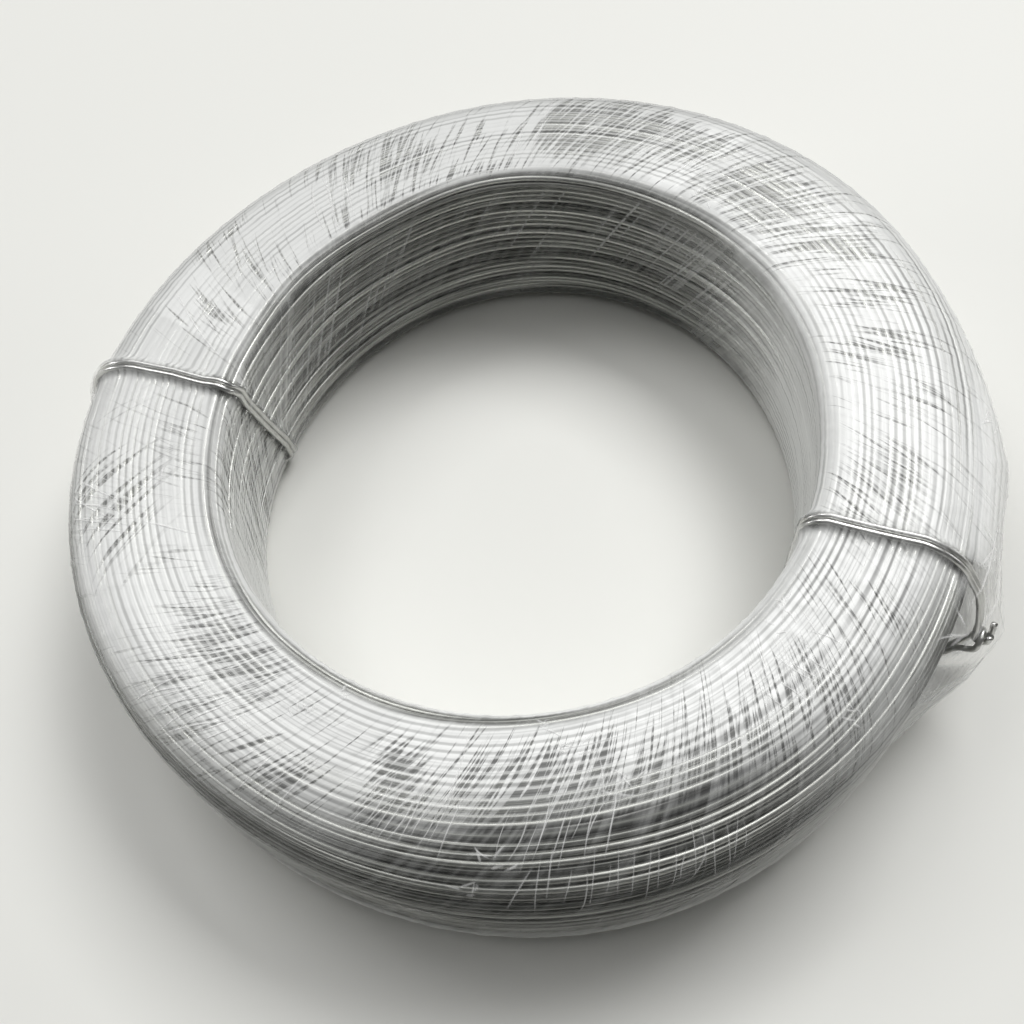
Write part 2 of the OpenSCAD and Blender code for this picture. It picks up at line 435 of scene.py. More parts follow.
def tie(name, side):
    radius, sideways, height, place = tie_route().T
    drift = np.interp(place, *TIE_DRIFT[side])
    angle = np.radians(TIE_AT[side] + drift) + np.arctan2(sideways, radius)
    radius = np.hypot(radius, sideways)
    on_wall = smooth_step(radius, RIM_R - 2 * MM, RIM_R + 1 * MM)
    off = KNOT_OFF[side] * bell(height, HOOK_Z, KNOT_REACH) * on_wall
    line = out_of_round(radius, angle, height)
    line[:, 0] += off * np.cos(angle)
    line[:, 1] += off * np.sin(angle)
    return rod(name, line)


right_tie = tie("tie_wire_right_bent", "right")
left_tie = tie("tie_wire_left_bent", "left")

# %% [markdown]
# ## The film
#
# Stretch film clings to whatever it touches and stands away like a tent wherever
# something lifts it. A cloth simulation could drape it, but it would come out different
# with every change. Here the skin is a closed grid of points. It lies just above the
# turns, rises over the ties and the hooks, and is drawn into long narrow wrinkles that run
# the way it was wound, through the eye.

# %% Grid of the film
FILM_ANGLES = 600
FILM_STEP = 1.25 * MM    # between points round the section
BASE_STEP = 4 * MM       # and on the base, which lies on the floor
FILM_OFF = 0.35 * MM

film_walk = section_walk(-FILM_OFF)
film_along = np.concatenate([
    np.linspace(start, start + length, max(2, round(length / step)), endpoint=False)
    for (_, start, length, _), step in zip(film_walk[0], [FILM_STEP] * 7 + [BASE_STEP])])
film_rows = len(film_along)
open_along = np.append(film_along, film_walk[1])
open_theta = np.append(np.arange(FILM_ANGLES) * 2 * math.pi / FILM_ANGLES, 2 * math.pi)
grid_along, grid_theta = np.meshgrid(open_along, open_theta, indexing="ij")
grid_place = place_at(film_walk, grid_along)
print("film grid:", film_rows, "by", FILM_ANGLES)

# %% Where the film stands off
BASE_RISE = 2.8 * MM                                       # below, off the turns
TENT_RISE, TENT_HALF, TENT_FALL = 2.25 * MM, 2.1 * MM, 1.4 * MM
KNOT_Z = HOOK_Z + 2 * MM
# Over each knot: how far it stands off, and how far that reaches sideways and up
LEFT_BULGE, LEFT_WIDE, LEFT_TALL = 5.8 * MM, 9 * MM, 13 * MM
RIGHT_BULGE, RIGHT_WIDE, RIGHT_TALL = 2.4 * MM, 7 * MM, 9 * MM
# The loose span at the right: directions in degrees, and millimetres off the wall
LOOSE_AT = [-48, -42, -37, -32, -26, -20, -14, -10, -3, 5, 16]
LOOSE_BY = [0, 4.3, 10.3, 12.0, 8.0, 7.0, 8.0, 6.5, 4.0, 2.0, 0]


def loose_span(angle):
    return np.interp(degrees_from(angle, 0), LOOSE_AT, LOOSE_BY)


def between(value, low, full, ebb, high):
    """Zero up to low and from high on, one from full to ebb, smooth in between."""
    return smooth_step(value, low, full) * (1 - smooth_step(value, ebb, high))


def beside_tie(side, angle, place, radius):
    """Signed length round the coil from a tie's middle line."""
    drift = np.interp(np.mod(place, 8), *TIE_DRIFT[side])
    return np.radians(degrees_from(angle, TIE_AT[side] + drift)) * radius


def film_lift(along, angle, place):
    """How far the film stands off its own resting place."""
    r, z, nr, nz = point_on(film_walk, along)
    lift = BASE_RISE * np.clip(-nz, 0, 1) ** 2
    for side in TIE_AT:
        away = np.maximum(np.abs(beside_tie(side, angle, place, r)) - TENT_HALF, 0)
        lift = np.maximum(lift, TENT_RISE * np.exp(-away / TENT_FALL))
    on_wall = nr > 0.5
    lift = lift + LEFT_BULGE * on_wall * bell(z, KNOT_Z, LEFT_TALL) \
        * bell(beside_tie("left", angle, place, r), 0, LEFT_WIDE)
    loose = loose_span(angle) * MM * between(place, 0.2, 1.3, 1.9, 2.75)
    away = np.radians(degrees_from(angle, TIE_AT["right"])) * r
    return np.maximum(lift, loose) + RIGHT_BULGE * on_wall \
        * bell(away, 0, RIGHT_WIDE) * bell(z, KNOT_Z, RIGHT_TALL)


most = film_lift(grid_along, grid_theta, grid_place).max()
print("film lifted by up to", round(most / MM, 1), "mm")

# %% Wrinkles and the skin
# Height in millimetres, crests round the coil, their slant once round the section, sway
# and sharpness
WRINKLES = [(0.14, 67, 9, 2.1, 4), (0.12, 97, -14, 1.7, 4), (0.08, 141, 5, 2.9, 3)]
OFF_FLOOR = 0.05 * MM


def crests(along, angle, count, slant, sway, sharp):
    """Narrow crests that run the way the film was wound."""
    phase = count * angle + slant * along / film_walk[1] * 2 * math.pi
    phase = phase + sway * np.sin(3 * angle + count)
    return np.maximum(np.cos(phase), 0) ** sharp


def film_surface(along, angle, above=0.0):
    """World points on the film, or a little above it."""
    wrinkle = sum(height * MM * crests(along, angle, *kind) for height, *kind in WRINKLES)
    along = np.mod(along, film_walk[1])
    r, z, nr, nz = point_on(film_walk, along)
    off = film_lift(along, angle, place_at(film_walk, along)) + wrinkle + above
    return out_of_round(r + off * nr, angle, np.maximum(z + off * nz, OFF_FLOOR))


film = new_piece("film_skin", film_surface(grid_along, grid_theta)[:-1, :-1],
                 grid_quads(film_rows, FILM_ANGLES))

# %% [markdown]
# ## Sharp folds
#
# Where the film was pulled or pinched, a crease stays and catches the light as a thin
# bright line. A bump in the finish could hint at it, but it would never stand up at the
# edge of the ring. So each crease is a narrow strip of mesh that lies on the skin and
# rises along its middle. The ones that matter are listed one by one. Crumples, small heaps
# of short creases, and combs, rows of fine ones, are drawn at random from a few numbers.

# %% Single folds
# Each fold runs from one place to another: angle round the coil and place round the
# section, at both ends, and its width in millimetres.
FOLDS = [
    (79.5, 2.7, 83.5, 4.1, 2.0), (84, 3.0, 87, 4.0, 0.6), (151, 2.9, 163.5, 4.2, 0.9),
    (149, 3.1, 160, 4.0, 0.6), (184, 2.4, 192.5, 3.1, 0.8), (187, 2.3, 194, 3.3, 0.6),
    (193.5, 3.35, 199.5, 3.95, 0.9), (116, 3.0, 120.5, 4.0, 0.8), (119, 2.9, 124, 3.8, 0.7),
    (121, 3.4, 125, 4.1, 0.9), (307, 3.85, 311.5, 4.2, 1.2), (297.5, 2.8, 307, 3.4, 0.7),
    (300, 3.0, 309, 3.7, 0.6), (303, 3.2, 306, 3.9, 0.8), (305, 3.1, 303, 3.8, 0.6),
    (271, 3.2, 276, 3.9, 0.8), (274, 3.1, 275, 3.7, 0.7),
    (255, 3.0, 257.5, 4.0, 0.7), (247.5, 2.8, 251, 3.3, 0.6), (246, 2.8, 249.5, 3.3, 0.6),
    (221, 2.5, 228, 3.2, 0.7), (218, 2.6, 224, 3.3, 0.6), (216, 2.6, 221, 3.2, 0.6),
    (263, 2.2, 266, 2.7, 0.7), (281, 2.2, 284, 2.6, 0.7), (286, 2.2, 288, 2.7, 0.6),
    (52, 3.1, 57, 4.1, 0.9), (48, 3.0, 54, 3.7, 0.6), (30, 3.0, 36, 4.0, 0.7),
    (318, 2.25, 352, 2.05, 1.2), (330, 2.1, 372, 2.2, 1.0), (315, 1.9, 335, 1.7, 1.4),
    (324, 2.4, 340, 2.2, 0.8), (340, 1.9, 365, 1.8, 1.2), (312, 2.2, 326, 1.4, 1.2),
    (310, 1.9, 322, 1.2, 1.0), (327, 1.60, 310, 1.25, 1.4), (327, 1.50, 307, 1.10, 1.1),
    (327, 1.70, 311, 1.55, 1.0), (326, 1.40, 314, 0.90, 1.2), (327, 1.80, 314, 1.90, 0.9),
    (326, 1.55, 308, 1.40, 0.8), (329, 1.70, 336, 2.20, 0.9), (330, 1.60, 341, 1.90, 0.9),
    (330, 1.45, 344, 1.30, 1.0),
]
print("single folds:", len(FOLDS))

# %% Crumples
# Angle, place, how many short folds, and how far they reach in millimetres
CRUMPLES = [
    (234.5, 3.6, 6, 5), (237, 4.0, 4, 6), (271, 3.8, 7, 7), (259.5, 2.4, 5, 4),
    (262, 2.75, 6, 6), (268.5, 4.1, 4, 4), (277, 3.25, 6, 6), (305, 2.7, 5, 5),
    (308.5, 3.85, 6, 8), (188, 3.5, 4, 6), (48, 3.9, 5, 6), (335, 2.2, 6, 7),
    (345, 1.8, 6, 8), (322, 2.3, 5, 6), (352, 2.3, 5, 6), (253, 1.8, 6, 6),
    (283, 1.6, 6, 7), (231, 2.1, 4, 5),
]
DEGREES_PER_MM = 0.46    # near the middle of the top
PLACES_PER_MM = 1 / 28

for angle, place, many, reach in CRUMPLES:
    for k in range(many):
        start = angle + rng.uniform(-0.25, 0.25) * reach
        level = place + rng.uniform(-0.018, 0.018) * reach
        way, length = rng.uniform(0, math.pi), reach * rng.uniform(0.5, 1.2)
        FOLDS.append((start, level, start + DEGREES_PER_MM * length * math.cos(way),
                      level + PLACES_PER_MM * length * math.sin(way), rng.uniform(0.6, 1.5)))
print("with the crumples:", len(FOLDS))

# %% Combs
# First angle, step, how many, the two places, the inner end's lean in degrees, and the
# width in millimetres
COMBS = [
    (246, 1.1, 10, 2.80, 3.35, 2.2, 0.6), (266, 1.3, 17, 2.15, 2.75, 1.5, 0.5),
    (215, 1.4, 8, 2.50, 3.25, 5.0, 0.6), (183, 1.3, 6, 2.50, 3.30, 6.0, 0.6),
    (295, 2.2, 6, 3.00, 3.80, 6.0, 0.6), (300, 2.6, 5, 3.10, 3.60, -1.5, 0.6),
    (236, 6.0, 14, 1.00, 1.90, 1.5, 3.2), (262, 1.1, 12, 2.75, 3.30, 3.0, 0.5),
    (54, 2.6, 7, 3.00, 3.60, 7.0, 0.6), (114, 1.9, 5, 2.90, 3.90, 5.0, 0.7),
    (30, 3.2, 6, 3.10, 3.80, 7.0, 0.6), (230, 2.4, 4, 2.60, 3.40, 3.0, 0.6),
    (150, 7.0, 4, 1.00, 1.80, 3.0, 2.0),
    (20, 9.0, 6, 0.90, 1.80, 3.0, 2.2), (90, 8.0, 5, 1.10, 1.90, 4.0, 1.8),
]
for angle, step, many, place0, place1, lean, width in COMBS:
    for k in range(many):
        start = angle + k * step + rng.uniform(-0.3, 0.3) * step
        FOLDS.append((start, place0 + rng.uniform(-0.15, 0.15),
                      start + lean * rng.uniform(0.7, 1.2),
                      place1 + rng.uniform(-0.15, 0.15), width * rng.uniform(0.7, 1.3)))
print("with the combs:", len(FOLDS))

# %% A strip for each fold
FOLD_COLUMNS = 5
FOLD_STEP = 1.2 * MM
RIDGE_LEAST, RIDGE_MORE = 0.05 * MM, 0.30 * MM    # above the skin, at the edges and at most


def fold_strip(angle0, place0, angle1, place1, width):
    """Points of one fold, and how strongly it shows at each of them."""
    along0, along1 = distance_at(film_walk, (place0, place1))
    steps = max(10, int(abs(along1 - along0) / FOLD_STEP), int(abs(angle1 - angle0) * 2))
    u = np.linspace(0, 1, steps)
    bow = math.radians(rng.uniform(-0.5, 0.5)) * np.sin(math.pi * u)
    along = along0 + (along1 - along0) * u
    angle = np.radians(angle0 + (angle1 - angle0) * u) + bow
    r = point_on(film_walk, along)[0]
    run = np.stack([np.gradient(along), r * np.gradient(angle)], -1)
    run /= np.linalg.norm(run, axis=1, keepdims=True)
    taper = np.sin(math.pi * u)[:, None] ** 0.6
    side = np.linspace(-1, 1, FOLD_COLUMNS)
    aside = side * width * MM / 2 * (0.15 + 0.85 * taper)
    crest = taper * (1 - side ** 2)
    points = film_surface(along[:, None] - run[:, 1:] * aside,
                          angle[:, None] + run[:, :1] * aside / r[:, None],
                          RIDGE_LEAST + RIDGE_MORE * crest)
    return points, min(1.0, 1.5 / (width + 0.5)) * crest


fold_points, fold_quads, fold_ridge, first = [], [], [], 0
for fold in FOLDS:
    points, ridge = fold_strip(*fold)
    quads = grid_quads(len(points), FOLD_COLUMNS, False, False, first)
    fold_points.append(points.reshape(-1, 3))
    fold_quads.append(quads[:, [0, 3, 2, 1]])    # clockwise, seen from outside
    fold_ridge.append(ridge.reshape(-1))
    first += ridge.size
folds = new_piece("film_folds", np.concatenate(fold_points), np.concatenate(fold_quads))
add_layer(folds, "ridge", np.concatenate(fold_ridge))

# %% [markdown]
# ## What the film's finish will read
#
# Stretch film is clear where it clings tightly and milky where air lies under it. Its
# colour is also darkened at the back and along the rim, which is painted shade. Such areas
# could be painted as images. Numbers stored in the mesh by angle and place need no files,
# and can be moved by changing one row. They are stored at corners, because the grid's
# first and last columns share points, not numbers.


# %% Store a layer, or a sum of soft patches
def corner_layer(name, values):
    row, after = values[:-1], values[1:]
    corners = np.stack([row[:, :-1], row[:, 1:], after[:, 1:], after[:, :-1]], 2)
    add_layer(film, name, corners, "CORNER", "FLOAT" if values.ndim == 2 else "FLOAT_VECTOR")
    print("layer", name, "from", round(values.min(), 3), "to", round(values.max(), 3))


def patch(middle_angle, half_angle, middle_place, half_place, power=2):
    return ring_bell(grid_theta, middle_angle, half_angle, power) \
        * bell(grid_place, middle_place, half_place, power)


def patches(*table):
    """Sum of patches, each a weight and its angle, half angle, place and half place."""
    return sum(weight * patch(*where) for weight, *where in table)


# %% Directions along the wrap
# Three sets of coordinates: the wrap runs straight, leans left or leans right
middle_r = (EYE_R + RIM_R) / 2
for name, slant in (("wrap_straight", -0.135), ("wrap_left", -0.19), ("wrap_right", 0.20)):
    turned = grid_theta + slant * grid_along / film_walk[1] * 2 * math.pi
    corner_layer(name, np.stack([middle_r * np.cos(turned), middle_r * np.sin(turned),
                                 grid_along], -1))

# %% Which turn lies behind
# The turns show through the film, so it knows the number of the turn behind each point.
# Whole numbers are the middles of turns. The first and last are repeated past the ends.
behind = distance_at(turn_walk, grid_place)
repeated = np.concatenate([turn_along[-2:] - turn_walk[1], turn_along,
                           turn_along[:3] + turn_walk[1]])
numbers = np.arange(len(repeated)) - 2
turn_number = np.empty_like(behind)
for j, angle in enumerate(open_theta):
    step = angle / (2 * math.pi) * TURN_ANGLES
    low, part = int(step), step - int(step)
    column = (1 - part) * repeated[:, low % TURN_ANGLES] \
        + part * repeated[:, (low + 1) % TURN_ANGLES]
    turn_number[:, j] = np.interp(behind[:, j], column, numbers)
corner_layer("turn_number", turn_number)

# %% Clear (1) or milky (0)
# How clear the film in the eye is, by direction
EYE_CLEAR_AT = [-180, -165, -140, -60, 0, 12, 25, 45, 60, 100, 130, 158, 172, 180]
EYE_CLEAR_BY = [0.15, 0.05, 0, 0, 0, 0.08, 0.4, 0.75, 0.92, 0.95, 0.9, 0.65, 0.3, 0.15]

in_eye = between(grid_place, 4.05, 4.8, 6.6, 7.2)
loose = between(grid_place, 0.6, 1.4, 1.9, 2.6) * loose_span(grid_theta) / max(LOOSE_BY)
clear = patches(
    (1.3, -89, 32, 2.6, 0.66), (0.8, -98, 40, 1.5, 0.62), (0.15, -46, 14, 2.7, 0.5),
    (0.12, -130, 14, 2.5, 0.4), (0.85, -37, 9, 2.2, 0.45), (0.55, 100, 80, 2.42, 0.3),
    (0.7, 195, 45, 2.3, 0.16), (0.35, 120, 100, 4.3, 0.25), (0.95, -105, 62, 4.32, 0.24))
clear += in_eye * np.interp(degrees_from(grid_theta, 0), EYE_CLEAR_AT, EYE_CLEAR_BY)
clear += 0.8 * loose
# It is clear along each tie too, a little more on one side
film_r = point_on(film_walk, np.mod(grid_along, film_walk[1]))[0]
for side, shift in (("right", -1.0 * MM), ("left", 1.0 * MM)):
    clear += 0.9 * bell(beside_tie(side, grid_theta, grid_place, film_r), shift, 2.4 * MM)
corner_layer("clear", np.clip(clear, 0, 1))
corner_layer("blotchy", 0.25 + 0.3 * in_eye)
corner_layer("haze", patches((0.6, 58, 34, 5.4, 0.6), (0.6, 110, 40, 5.3, 0.5),
                             (0.5, 150, 25, 5.5, 0.6)))

# %% Painted shade at the back and along the rim, and lines of painted shade between the turns
RIM_SHADE_PLACE, RIM_SHADE_HALF = 2.56, 0.28

# Painted shade: the film's colour is darkened along the back of the rim and, less, over the
# back of the top, and the same mask makes the film rougher there.
back_rim = 0.12 + 0.88 * ring_bell(grid_theta, 88, 77, 4) \
    + 0.35 * ring_bell(grid_theta, 78, 36, 4)
painted_shade_rough = 0.30 * back_rim * bell(grid_place, RIM_SHADE_PLACE, RIM_SHADE_HALF, 3) \
    + 0.15 * patch(122, 68, 3.3, 1.0, 4)
corner_layer("painted_shade_rough", painted_shade_rough * np.clip(1 - 2 * loose, 0, 1))
# How strong the dark lines between the turns are: they thin the film and darken its colour,
# which is painted shade.
corner_layer("gaps", 0.85 + patches((0.9, -39, 9, 3.5, 0.8), (0.8, 15, 40, 2.8, 0.4),
                                    (0.6, -75, 30, 2.8, 0.5)))
corner_layer("front", np.clip(1.4 * patch(-90, 62, 3.2, 1.3), 0, 1))

# %% Where narrow clear streaks cross the film
# Direction and place, each with its half width, and how densely the streaks lie there
STREAK_PATCHES = [
    (235, 5, 2.93, 0.25, 0.9), (221, 6, 2.9, 0.35, 0.8), (220, 8, 3.6, 0.35, 1.0),
    (201, 0.8, 3.35, 0.3, 0.8), (187, 5.5, 2.95, 0.45, 0.9), (181, 6, 3.7, 0.35, 0.7),
    (154, 3, 3.5, 0.3, 0.6), (141, 4, 3.6, 0.5, 0.6), (139.5, 4.5, 2.87, 0.1, 0.8),
    (122.5, 2.5, 3.9, 0.25, 0.7), (110, 9, 3.0, 0.3, 0.8), (106, 7, 3.5, 0.45, 0.85),
    (102, 18, 3.98, 0.12, 0.7), (92, 0.7, 3.3, 0.25, 0.8), (72.5, 8, 3.3, 0.55, 1.0),
    (58.5, 6, 3.25, 0.3, 1.0), (38.5, 11, 3.5, 0.5, 0.9), (23, 3, 3.1, 0.35, 0.6),
    (13.5, 3, 3.35, 0.35, 0.6), (2.5, 3, 3.6, 0.5, 0.6), (352.5, 4, 3.2, 0.4, 0.45),
    (336.5, 6, 3.55, 0.45, 0.85), (317, 3.5, 3.4, 0.55, 0.4), (305, 9, 3.2, 0.4, 0.65),
    (287, 9, 3.2, 0.4, 0.95), (267.5, 9.5, 3.3, 0.45, 1.3), (250, 3.5, 3.3, 0.35, 1.2),
    (180, 16, 5.4, 0.6, 0.8), (60, 40, 1.4, 0.5, 0.6),
    (150, 30, 1.5, 0.5, 0.6), (200, 20, 1.2, 0.4, 0.7), (60, 60, 7.5, 0.4, 0.5),
    (220, 50, 7.5, 0.4, 0.5),
]
STREAK_REACH = 1.3
hatch = np.zeros_like(grid_theta)
for angle, half_angle, place, half_place, dense in STREAK_PATCHES:
    hatch = np.maximum(hatch, dense * patch(angle, STREAK_REACH * half_angle, place,
                                            STREAK_REACH * half_place, 2.5))
hatch = 0.15 + 0.85 * hatch + 0.3 * patch(55, 45, 3.4, 0.6) \
    - 0.4 * in_eye * (1 - ring_bell(grid_theta, 178, 30))
corner_layer("hatch", hatch)
corner_layer("leans", np.clip(1.5 * patch(187, 13, 3.0, 0.6), 0, 1))

# %% Bands of one to three layers
# Each pass of the film overlaps the last, so the skin is made of slanting bands.
BANDS = 17
BAND_SLANT = -0.095
BAND_SWAY = 0.02

band_edges = np.sort(rng.uniform(0, 2 * math.pi, BANDS))
band_layers = rng.uniform(0, 1, BANDS)
band_angle = np.mod(grid_theta + BAND_SLANT * grid_along / film_walk[1] * 2 * math.pi
                    + BAND_SWAY * np.sin(7 * grid_theta), 2 * math.pi)
corner_layer("layers", band_layers[np.searchsorted(band_edges, band_angle) % BANDS])

# %% [markdown]
# ## Nodes in a few words
#
# A finish is a tree of nodes. It could be wired by hand in the shader editor, but in text
# each step can be read and repeated. The helpers make a node, set its inputs by name and
# link those that come from another node. Effects that are used more than once are node
# groups: one makes the long streaks of the wrap, the other the fine grain of drawn wire.

# %% Node helpers
def put(socket, value):
    """Link an input if the value is a socket, or else set it."""
    if isinstance(value, bpy.types.NodeSocket):
        socket.id_data.links.new(value, socket)
    else:
        socket.default_value = value


def feed(made, **values):
    """Set a node's settings and inputs by name."""
    for key, value in values.items():
        if key in made.bl_rna.properties:
            setattr(made, key, value)
        else:
            put(made.inputs[key.replace("_", " ")], value)
    return made


def node(tree, kind, **values):
    return feed(tree.nodes.new(kind), **values)


def math_node(operation, a, b=0.0):
    tree = (a if isinstance(a, bpy.types.NodeSocket) else b).id_data
    made = node(tree, "ShaderNodeMath", operation=operation)
    put(made.inputs[0], a)
    put(made.inputs[1], b)
    return made.outputs[0]


def times(a, b):
    return math_node("MULTIPLY", a, b)


def plus(a, b):
    return math_node("ADD", a, b)


def less(whole, a, share=1.0):
    """The whole less a share of a mask."""
    return plus(whole, times(a, -share))


def ramp(value, low, high, to_low=0.0, to_high=1.0):
    return node(value.id_data, "ShaderNodeMapRange", interpolation_type="SMOOTHSTEP",
                Value=value, From_Min=low, From_Max=high, To_Min=to_low,
                To_Max=to_high).outputs[0]


def mix_colours(factor, dark, light):
    return node(factor.id_data, "ShaderNodeMix", data_type="RGBA", Factor=factor,
                A=(*dark, 1), B=(*light, 1)).outputs["Result"]


def read_layer(tree, name, output="Fac"):
    return node(tree, "ShaderNodeAttribute", attribute_name=name).outputs[output]


def new_finish(name):
    material = bpy.data.materials.new(name)
    material.use_nodes = True
    tree = material.node_tree
    return material, tree, tree.nodes["Principled BSDF"]


def give(piece, material, slot_name, *cad_nodes):
    """Dress a piece, and hide the CAD solids it stands for. The slot name is not used."""
    piece.data.materials.clear()
    piece.data.materials.append(material)
    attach(piece, "root")
    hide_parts(*cad_nodes)
    print(piece.name, "wears", material.name)


# %% Two shared effects
def new_group(name, numbers, result):
    """An empty node group with a vector and some numbers going in, and one number out."""
    group = bpy.data.node_groups.new(name, "ShaderNodeTree")
    group.interface.new_socket("Place", in_out="INPUT", socket_type="NodeSocketVector")
    for number in numbers:
        group.interface.new_socket(number, in_out="INPUT", socket_type="NodeSocketFloat")
    group.interface.new_socket(result, in_out="OUTPUT", socket_type="NodeSocketFloat")
    given = group.nodes.new("NodeGroupInput").outputs
    return group, given, group.nodes.new("NodeGroupOutput")


def streak_group():
    """Mask of long streaks: noise squeezed across the wrap and stretched along it."""
    numbers = ("Across", "Along", "From", "To")
    group, given, result = new_group("wrap streaks", numbers, "Mask")
    scale = node(group, "ShaderNodeCombineXYZ", X=given["Across"], Y=given["Across"],
                 Z=given["Along"])
    squeezed = node(group, "ShaderNodeVectorMath", operation="MULTIPLY")
    put(squeezed.inputs[0], given["Place"])
    put(squeezed.inputs[1], scale.outputs[0])
    noise = node(group, "ShaderNodeTexNoise", Vector=squeezed.outputs[0], Scale=1, Detail=3)
    feed(result, Mask=ramp(noise.outputs[0], given["From"], given["To"]))
    return group


def grain_group():
    """Fine uneven gloss of drawn wire: a value between two limits."""
    numbers = ("Scale", "Detail", "Low", "High")
    group, given, result = new_group("wire grain", numbers, "Value")
    noise = node(group, "ShaderNodeTexNoise", Vector=given["Place"], Scale=given["Scale"],
                 Detail=given["Detail"])
    feed(result, Value=node(group, "ShaderNodeMapRange", Value=noise.outputs[0],
                            To_Min=given["Low"], To_Max=given["High"]).outputs[0])
    return group


STREAKS, GRAIN = streak_group(), grain_group()


def streaks(place, across, along, low=0.0, high=1.0):
    """Streaks that change so often in a metre across and along, between two noise levels."""
    return node(place.id_data, "ShaderNodeGroup", node_tree=STREAKS, Place=place,
                Across=across, Along=along, From=low, To=high).outputs["Mask"]


def grain(tree, scale, detail, low, high):
    place = node(tree, "ShaderNodeTexCoord").outputs["Object"]
    return node(tree, "ShaderNodeGroup", node_tree=GRAIN, Place=place, Scale=scale,
                Detail=detail, Low=low, High=high).outputs["Value"]


for group in (STREAKS, GRAIN):
    print("node group", group.name, "with", len(group.nodes), "nodes")

# %% [markdown]
# ## Finish of the coated wire
#
# Drawn aluminium is a dull grey metal with fine lines along it, and its clear coat adds a
# soft gloss. One grey for all the turns would look like a grooved casting. Real turns
# differ, because each shows another stretch of the wire and another thickness of film.
# So the tone stored with each turn, and the drawn lines, choose between a dull and a
# bright grey, and the same tone makes the bright turns a little glossier. The tone also
# holds painted shade: it is lowered at the front, along the back of the rim and low on the
# front of the outer wall.

# %% Coated wire
DULL_WIRE, BRIGHT_WIRE = (0.078, 0.08, 0.072), (0.52, 0.525, 0.49)
# The layer below has a darker grey than the outer turns: painted shade in the gaps.
DULL_SHADED_BELOW, BRIGHT_SHADED_BELOW = (0.16, 0.16, 0.15), (0.26, 0.26, 0.25)
LINES_SHOW = 1.8         # how strongly the drawn lines change the tone
TONE_GLOSS = 0.16        # how much smoother the brightest turn is


def coated_wire(name, dull, bright):
    material, tree, shader = new_finish(name)
    own = read_layer(tree, "tone")
    lines = node(tree, "ShaderNodeTexNoise", Vector=read_layer(tree, "draw_lines", "Vector"),
                 Scale=1.3, Detail=2.0).outputs[0]
    lined = plus(own, plus(times(lines, LINES_SHOW), -LINES_SHOW / 2))
    feed(shader, Base_Color=mix_colours(lined, dull, bright),
         Roughness=less(grain(tree, 420, 2, 0.44, 0.56), own, TONE_GLOSS),
         Metallic=0.85, Coat_Weight=0.28, Coat_Roughness=0.15)
    return material


wire_finish = coated_wire("coated wire", DULL_WIRE, BRIGHT_WIRE)
for piece in turn_pieces:
    give(piece, wire_finish, "coated_wire", "wire_winding")
give(below_piece, coated_wire("shaded coated wire below", DULL_SHADED_BELOW, BRIGHT_SHADED_BELOW),
     "coated_wire", "wire_winding")

# %% [markdown]
# ## Finish of the tie wire
#
# The ties are the same kind of wire, but they lie apart from the turns, right under the
# skin, and read as one bright metal. An even grey is enough, with the fine grain in its
# roughness, so that the light along each strand breaks up a little.

# %% Tie wire
TIE_GREY = (0.56, 0.56, 0.54)

tie_finish, tree, shader = new_finish("tie wire")
feed(shader, Base_Color=(*TIE_GREY, 1), Roughness=grain(tree, 700, 3, 0.22, 0.42),
     Metallic=1.0, Coat_Weight=0.5)
give(right_tie, tie_finish, "tie_wire", "tie_wire_right")
give(left_tie, tie_finish, "tie_wire", "tie_wire_left")

# %% [markdown]
# ## Finish of the film
#
# The film is many thin clear layers. Light that enters where air lies between them comes
# out milky white, and where they cling it goes straight through. True glass layers would
# take very long to render and would still need that white. So the skin is a white
# plastic, and its Alpha says how much of the white is there: most of it where the film is
# milky, little in the narrow streaks, and next to nothing where it clings. Faint darker
# lines lie where two turns meet: there the film thins and shows the gap, and its colour is
# darkened too, which is painted shade.

# %% Narrow clear streaks, in clusters
CROWDING, CROWD_OFF = 0.32, -0.11    # how the hatch layer crowds them

film_finish, tree, shader = new_finish("stretch film")
straight, left, right = (read_layer(tree, name, "Vector")
                         for name in ("wrap_straight", "wrap_left", "wrap_right"))
hatch, front, leans = (read_layer(tree, name) for name in ("hatch", "front", "leans"))


def clustered(noise, low, high):
    return ramp(plus(noise, plus(times(hatch, CROWDING), CROWD_OFF)), low, high)


coarse = clustered(streaks(straight, 640, 36), 0.60, 0.79)
finer = clustered(streaks(straight, 1150, 44), 0.60, 0.76)
fine = plus(times(coarse, less(1.0, front)), times(finer, front))
fine_left = clustered(streaks(left, 560, 40), 0.64, 0.83)
fine_right = clustered(streaks(right, 430, 26), 0.60, 0.76)
windows = times(math_node("MAXIMUM", fine, fine_left), less(1.0, leans, 0.8))
windows = math_node("MAXIMUM", windows, times(fine_right, leans))
print("nodes for the streaks:", len(tree.nodes))

# %% Streaks broken up by other folds and by the turns
turn = read_layer(tree, "turn_number")
crest = math_node("COSINE", times(turn, 2 * math.pi))
crossing = streaks(left, 620, 26, 0.52, 0.62)
windows = times(windows, less(1.0, crossing, 0.7))
# Over the crest of each turn the streaks fill with milky white, a painted highlight along the
# turns.
windows = times(windows, less(1.0, ramp(crest, 0.1, 1.0), 0.5))
print("nodes with their breaks:", len(tree.nodes))

# %% Milky film, with thin milky streaks where it is clear
STREAK_CLEAR = 0.73      # how clear the narrow streaks are
THIN_FILM, THICK_FILM = 0.74, 0.86

